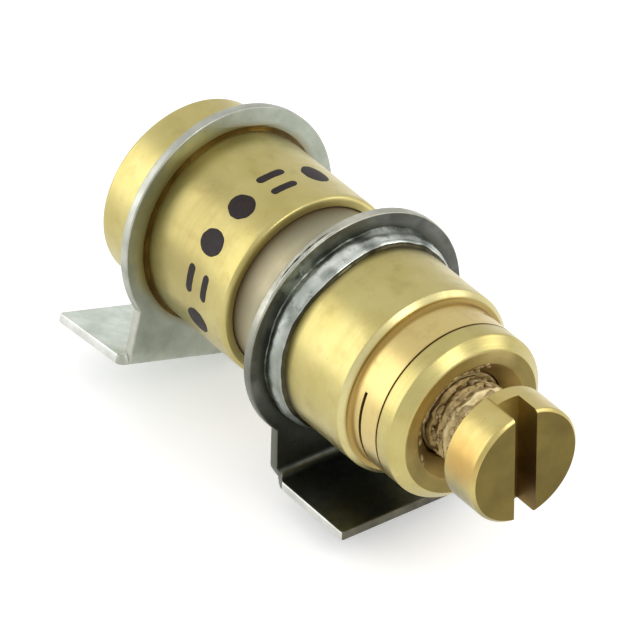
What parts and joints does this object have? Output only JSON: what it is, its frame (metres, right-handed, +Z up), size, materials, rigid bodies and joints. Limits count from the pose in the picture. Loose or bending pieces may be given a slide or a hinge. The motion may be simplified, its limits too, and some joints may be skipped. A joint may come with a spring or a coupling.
{
  "type": "trimmer capacitor",
  "caption": "Tubular piston trimmer capacitor for surface mounting: brass sleeve and bushing on a ceramic tube, folded ring terminals and a slotted adjusting screw.",
  "frame": {"origin": "bottom centre of the bounding box: under the middle of the part, at the lowest corner of the feet", "axes": "+X along the axis of the part, towards the head of the adjusting screw; +Z up, away from the board; +Y completes a right-handed frame"},
  "size_m": [0.0184, 0.0081, 0.0096],
  "materials": {
    "sleeve_brass": "turned, satin, slightly worn",
    "bushing_brass": "turned, satin, warmer on the slit neck",
    "screw_brass": "turned and threaded, satin",
    "piston_brass": "fine turned",
    "washer_brass": "stamped",
    "tinned_sheet": "tin plated sheet, satin",
    "solder": "bright, uneven",
    "tube_ceramic": "fired, matt",
    "spring_steel": "hardened, plain"
  },
  "bodies": {
    "housing": {"stator_sleeve": "sleeve_brass", "rear_terminal": "tinned_sheet", "rear_solder_fillet": "solder", "dielectric_tube": "tube_ceramic", "tube_solder_fillet": "solder", "front_terminal": "tinned_sheet", "front_solder_fillet": "solder", "bushing": "bushing_brass"},
    "piston": {"piston": "piston_brass", "piston_key_pin": "spring_steel", "thrust_washer": "washer_brass"},
    "screw": {"adjusting_screw": "screw_brass", "retaining_clip": "spring_steel", "spring_washer": "spring_steel"}
  },
  "joints": [
    {"name": "piston_travel", "type": "slide", "parent": "housing", "child": "piston", "axis": [1, 0, 0], "range_m": [-0.00119, 0.00208]},
    {"name": "screw_turn", "type": "hinge", "parent": "piston", "child": "screw", "pos_m": [0.00916, 0, 0.00561], "axis": [1, 0, 0], "range_deg": [-1080, 1890]}
  ],
  "couplings": [
    {"joint": "screw_turn", "follows": "piston_travel", "rad_per_m": 15827}
  ]
}
